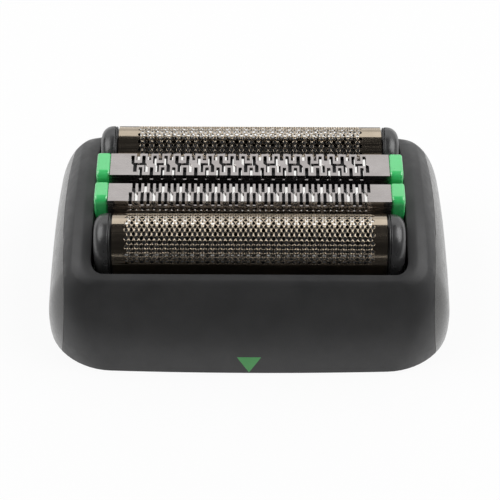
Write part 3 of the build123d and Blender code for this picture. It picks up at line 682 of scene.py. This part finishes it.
def make_foil_frame(side):
    """Foil frame: domed caps with a fine lip beside the foil, feet, guide tongues and side rails."""
    cap = arch_end("cap", FOIL_RADIUS, ROW_FOOT, CAP_START, CAP_END)
    edit(cap)
    pick(cap, "EDGE", lambda edge, at: at.x > CAP_END - 0.01 and at.z > ROW_FOOT + 0.01)
    bpy.ops.mesh.bevel(offset=CAP_ROUND, segments=10, affect="EDGES", clamp_overlap=False)
    pick(cap, "EDGE", lambda edge, at: at.x < CAP_START + 0.01 and at.z > ROW_FOOT + 0.01)
    bpy.ops.mesh.bevel(offset=0.12, segments=3, affect="EDGES")
    close()
    lip = arch_end("lip", FOIL_RADIUS - CAP_LIP[2], ROW_FOOT, CAP_LIP[0], CAP_LIP[1])
    edit(lip)
    pick(lip, "EDGE", lambda edge, at: edge.calc_face_angle(0) > 1)
    bpy.ops.mesh.bevel(offset=0.06, segments=3, affect="EDGES")
    close()
    neck = arch_end("neck", FOIL_RADIUS - CAP_GROOVE, ROW_FOOT, FOIL_END + 0.1, CAP_START + 0.2)
    foot = block("foot", RAIL_END - 0.05, CAP_START + 0.2, -3.5, 3.5, ROW_FOOT, RAIL_TOP, 0.15)
    tongue = block("tongue", CAP_END - 0.3, TONGUE_END, -1.5, 1.5, ROW_FOOT, TONGUE_TOP, 0.15)
    rails = [block("rail", 0, RAIL_END, y - RAIL_HALF, y + RAIL_HALF, FOIL_HEM, RAIL_TOP)
             for y in (-RAIL_Y, RAIL_Y)]
    spring_x = SPRING_X["foil"]
    spring_peg = block("spring_peg", spring_x - 0.55, spring_x + 0.55, -0.55, 0.55,
                       9.36, ROW_FOOT + 0.1, 0.15)
    whole = join("foil_frame_" + side + "_moulding",
                 [cap, lip, neck, foot, tongue, spring_peg] + rails)
    whole.location.y = FOIL_Y[side]
    mirrored(whole)
    return hand_over(whole, "foil_" + side, "frame_plastic", SATIN_BLACK, "foil_frame_" + side)


def make_cutter(side):
    """Undercutter: a row of thin arched leaves that shine through the foil's holes."""
    outer = FOIL_RADIUS - FOIL_SHEET - LEAF_GAP
    leaf = arch_end("cutter_leaves_" + side, outer, LEAF_FOOT, -LEAF_HALF, LEAF_HALF)
    core = arch_end("core", outer - LEAF_DEPTH, 10, -1, 1)
    cut(leaf, core)
    edit(leaf)
    bpy.ops.mesh.select_all(action="SELECT")
    bpy.ops.transform.translate(value=(-(LEAF_COUNT - 1) * LEAF_PITCH / 2, FOIL_Y[side], 0))
    close()
    repeat(leaf, LEAF_COUNT, (LEAF_PITCH, 0, 0))
    return hand_over(leaf, "cutter_" + side, "blade_steel", BLADE_STEEL_AND_DIMPLE_GLINT, "cutter_blades_" + side)


# Trimmers


def make_comb(side):
    """Trimmer comb with softened edges, and with the slots' floors in the rear wall sloped forwards."""
    comb = cad_copy("trimmer_comb_" + side, "comb_" + side)
    rear = COMB_Y[side] + COMB_WIDTH[side] / 2
    wedge = block("wedge", -SLOTS_END, SLOTS_END, rear - COMB_SHEET - 0.03, rear + 0.03,
                  SLOT_FLOOR - COMB_SHEET, SLOT_FLOOR)
    edit(wedge)
    pick(wedge, "VERT", lambda vert, at: at.y > rear and at.z < SLOT_FLOOR - 0.1)
    bpy.ops.transform.translate(value=(0, 0, COMB_SHEET - 0.01))
    close()
    cut(comb, wedge)
    modify(comb, "BEVEL", width=0.03, segments=1, limit_method="ANGLE", angle_limit=radians(40))
    return hand_over(comb, "trimmer_" + side, "comb_steel", COMB_STEEL, "trimmer_comb_" + side,
                     angle=30)


def make_dimples():
    """Row of fine raised dimples along the front comb's front wall, one below each slot."""
    bpy.ops.object.select_all(action="DESELECT")
    bpy.ops.mesh.primitive_uv_sphere_add(segments=12, ring_count=8, radius=DIMPLE_RADIUS)
    dot = added("comb_dimples")
    dot.scale = (1, 0.7, 1)
    dot.location = (DIMPLE_START, COMB_Y["front"] - COMB_WIDTH["front"] / 2, COMB_TOP - DIMPLE_DROP)
    bpy.ops.object.transform_apply(location=True, rotation=True, scale=True)
    repeat(dot, DIMPLE_COUNT, (DIMPLE_PITCH, 0, 0))
    # The dimples take the blades' brighter steel, not the comb's own, as a painted brightening of their
    # glints.
    return hand_over(dot, "trimmer_front", "comb_steel", BLADE_STEEL_AND_DIMPLE_GLINT)


def make_trimmer_blade(side):
    """Inner blade of a trimmer: bright teeth across the top, joined by two thin walls."""
    y = COMB_Y[side]
    reach = COMB_WIDTH[side] / 2 - COMB_SHEET - BLADE_GAP
    top = BLADE_TOP
    low = top - 0.8 * reach
    edges = [(y + edge * reach - 0.1, y + edge * reach + 0.1) for edge in (-1, 1)]
    bar = block("tooth", -TOOTH_HALF, TOOTH_HALF, y - reach, y + reach, top - 0.25, top, 0.05)
    legs = [block("leg", -LEG_HALF, LEG_HALF, *edge, low - 0.3, top - 0.15) for edge in edges]
    tooth = join("tooth", [bar] + legs)
    edit(tooth)
    bpy.ops.mesh.select_all(action="SELECT")
    bpy.ops.transform.translate(value=(TOOTH_START, 0, 0))
    close()
    repeat(tooth, TOOTH_COUNT, (TOOTH_PITCH, 0, 0))
    walls = [block("wall", -BLADE_WALL_END, BLADE_WALL_END, *edge, low - 0.7, low) for edge in edges]
    blade = join("inner_blade_" + side, [tooth] + walls)
    return hand_over(blade, "trimmer_blade_" + side, "blade_steel", BLADE_STEEL_AND_DIMPLE_GLINT, "trimmer_blade_" + side)


def make_end_blocks(side):
    """Green end blocks beside a comb, round along the top and at the outer corners."""
    y0, y1 = BLOCK_Y[side]
    blocks = block("end_blocks_" + side, BLOCK_START, BLOCK_END, y0, y1, ROW_FOOT, BLOCK_TOP)
    edit(blocks)
    pick(blocks, "EDGE", lambda edge, at: at.z > BLOCK_TOP - 0.01 and at.y < y0 + 0.01)
    bpy.ops.mesh.bevel(offset=BLOCK_BROW, segments=8, affect="EDGES")
    pick(blocks, "EDGE", lambda edge, at: at.z > ROW_FOOT + 0.01 and edge.calc_face_angle(0) > 1)
    bpy.ops.mesh.bevel(offset=BLOCK_ROUND, segments=6, affect="EDGES")
    close()
    return hand_over(mirrored(blocks), "trimmer_" + side, "carrier_plastic", GREEN)


def make_carrier(side):
    """Dark rails, feet, tongues and pegs of a trimmer carrier, and its green end blocks."""
    node = "trimmer_carrier_" + side
    rails = cad_copy(node, "carrier_rails_" + side)
    away = block("away", BLOCK_START - 0.01, BLOCK_END + 0.01, -9, 9, ROW_FOOT - 0.01, 30)
    cut(rails, mirrored(away))
    modify(rails, "BEVEL", width=0.08, segments=2, limit_method="ANGLE", angle_limit=radians(40))
    hand_over(rails, "trimmer_" + side, "frame_plastic", HOLDER, node)
    return make_end_blocks(side)


def make_softened(node, body, slot, finish, width, segments=3):
    """A CAD piece of the right form, with its moulded edges rounded."""
    piece = cad_copy(node, node + "_moulding")
    modify(piece, "BEVEL", width=width, segments=segments, limit_method="ANGLE",
           angle_limit=radians(40))
    return hand_over(piece, body, slot, finish, node)


def make_spring(row, side, end, x, y):
    """Float spring of round wire."""
    bpy.ops.object.select_all(action="DESELECT")
    bpy.ops.mesh.primitive_circle_add(vertices=10, radius=WIRE_RADIUS,
                                      location=(COIL_RADIUS, 0, COIL_START), rotation=(pi / 2, 0, 0))
    spring = added("coil_" + row + "_" + side + "_" + end)
    bpy.ops.object.transform_apply(location=True, rotation=True, scale=True)
    modify(spring, "SCREW", axis="Z", angle=2 * pi, screw_offset=COIL_RISE, iterations=COIL_TURNS,
           steps=20, render_steps=20)
    edit(spring)
    pick(spring, "EDGE", lambda edge, at: edge.is_boundary)
    bpy.ops.mesh.edge_face_add()
    bpy.ops.mesh.select_all(action="SELECT")
    bpy.ops.mesh.normals_make_consistent(inside=False)
    bpy.ops.transform.translate(value=(x, y, 0))
    close()
    node = "spring_" + row + "_" + side + "_" + end
    hand_over(spring, "casing", "spring_steel", WIRE, node)
    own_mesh(spring)
    return spring


# The whole head

casing = make_casing()
make_side_panel("left")
make_side_panel("right")
make_triangle(casing)
make_softened("chassis", "casing", "chassis_plastic", CHASSIS, 0.12)
make_dimples()
for side in ("front", "rear"):
    make_foil(side)
    make_foil_frame(side)
    make_cutter(side)
    make_comb(side)
    make_trimmer_blade(side)
    make_carrier(side)
    make_softened("cutter_carrier_" + side, "cutter_" + side, "holder_plastic", HOLDER, 0.12)
    make_softened("blade_holder_" + side, "trimmer_blade_" + side, "holder_plastic", HOLDER, 0.12)
    make_softened("drive_bridge_" + side, "drive_" + side, "bridge_plastic", ACETAL, 0.12)
    for end, way in (("left", -1), ("right", 1)):
        make_spring("foil", side, end, way * SPRING_X["foil"], FOIL_Y[side])
        make_spring("trimmer", side, end, way * SPRING_X["trimmer"], COMB_Y[side])


# Floor, light and camera


def make_floor():
    """Plain pale floor that shows white to the camera and keeps a soft shadow."""
    bpy.ops.object.select_all(action="DESELECT")
    bpy.ops.mesh.primitive_plane_add(size=6)
    floor = added("floor")
    material = bpy.data.materials.new("white_floor")
    material.use_nodes = True
    nodes = material.node_tree.nodes
    links = material.node_tree.links
    nodes.clear()
    path = nodes.new("ShaderNodeLightPath")
    seen = nodes.new("ShaderNodeMath")
    seen.operation = "MAXIMUM"
    share = nodes.new("ShaderNodeMath")
    share.operation = "MULTIPLY"
    share.inputs[1].default_value = 0.92
    paper = nodes.new("ShaderNodeBsdfDiffuse")
    paper.inputs["Color"].default_value = (0.95, 0.95, 0.95, 1)
    glow = nodes.new("ShaderNodeEmission")
    glow.inputs["Strength"].default_value = 1.0
    mix = nodes.new("ShaderNodeMixShader")
    out = nodes.new("ShaderNodeOutputMaterial")
    links.new(path.outputs["Is Camera Ray"], seen.inputs[0])
    links.new(path.outputs["Is Glossy Ray"], seen.inputs[1])
    links.new(seen.outputs[0], share.inputs[0])
    links.new(share.outputs[0], mix.inputs["Fac"])
    links.new(paper.outputs["BSDF"], mix.inputs[1])
    links.new(glow.outputs["Emission"], mix.inputs[2])
    links.new(mix.outputs["Shader"], out.inputs["Surface"])
    floor.data.materials.append(material)


def make_card(name, near, far, width, shade):
    """Card that lies on the floor out of the camera's sight, and darkens the reflections from there."""
    bpy.ops.object.select_all(action="DESELECT")
    bpy.ops.mesh.primitive_plane_add(size=1, location=(0, (near + far) / 2, 0.0003))
    card = added(name)
    card.scale = (width, abs(near - far), 1)
    bpy.ops.object.transform_apply(location=True, rotation=True, scale=True)
    material = bpy.data.materials.new(name)
    material.use_nodes = True
    shader = material.node_tree.nodes["Principled BSDF"]
    shader.inputs["Base Color"].default_value = (shade, shade, shade, 1)
    shader.inputs["Roughness"].default_value = 0.9
    card.data.materials.append(material)
    card.visible_camera = False
    card.visible_shadow = False
    card.visible_diffuse = False


def make_world():
    """Dim studio round the head."""
    world = bpy.data.worlds.new("studio")
    bpy.context.scene.world = world
    world.use_nodes = True
    nodes = world.node_tree.nodes
    links = world.node_tree.links
    direction = nodes.new("ShaderNodeTexCoord")
    split = nodes.new("ShaderNodeSeparateXYZ")
    ramp = nodes.new("ShaderNodeValToRGB")
    ramp.color_ramp.elements[0].position = 0.0
    ramp.color_ramp.elements[0].color = (0.022, 0.022, 0.022, 1)
    ramp.color_ramp.elements[1].position = 0.5
    ramp.color_ramp.elements[1].color = (0.018, 0.018, 0.019, 1)
    links.new(direction.outputs["Generated"], split.inputs["Vector"])
    links.new(split.outputs["Z"], ramp.inputs["Fac"])
    links.new(ramp.outputs["Color"], nodes["Background"].inputs["Color"])


def make_lamp(name, place, size, power):
    """A soft box that faces the head."""
    lamp = bpy.data.lights.new(name, "AREA")
    lamp.shape = "RECTANGLE"
    lamp.size = size[0]
    lamp.size_y = size[1]
    lamp.energy = power
    piece = bpy.data.objects.new(name, lamp)
    piece.location = place
    piece.rotation_euler = (HEAD_MIDDLE - Vector(place)).to_track_quat("-Z", "Y").to_euler()
    bpy.context.scene.collection.objects.link(piece)


def make_camera():
    """Camera at the photograph's angle: from the front, 45 degrees up."""
    camera = bpy.data.cameras.new("camera")
    camera.lens = 134.2
    camera.sensor_width = 36
    camera.shift_x = 0.001
    camera.clip_start = 0.01
    piece = bpy.data.objects.new("camera", camera)
    reach = CAMERA_REACH * sqrt(0.5)
    piece.location = (0, -reach, CAMERA_AIM + reach)
    turn = Matrix.Rotation(radians(45), 3, "X") @ Matrix.Rotation(CAMERA_ROLL, 3, "Z")
    piece.rotation_euler = turn.to_euler()
    bpy.context.scene.collection.objects.link(piece)
    bpy.context.scene.camera = piece


make_floor()
make_card("near_card", -0.030, -0.067, 1.4, 0.01)
make_card("far_card", -0.071, -2.95, 1.4, 0.01)
make_card("rear_card", 0.024, 0.5, 0.052, 0.22)
make_world()
make_lamp("upper_back_soft_box", (0, 0.4455, 0.45), (1.6, 0.345), 1.75)
make_lamp("lower_back_soft_box", (0, 0.6145, 0.165), (1.6, 0.345), 1.15)
make_lamp("left_soft_box", (-0.5, -0.02, 0.5), (0.6, 0.6), 2.8)
make_lamp("right_soft_box", (0.5, -0.02, 0.5), (0.6, 0.6), 3.4)
make_camera()
bpy.context.scene.view_settings.view_transform = "Standard"
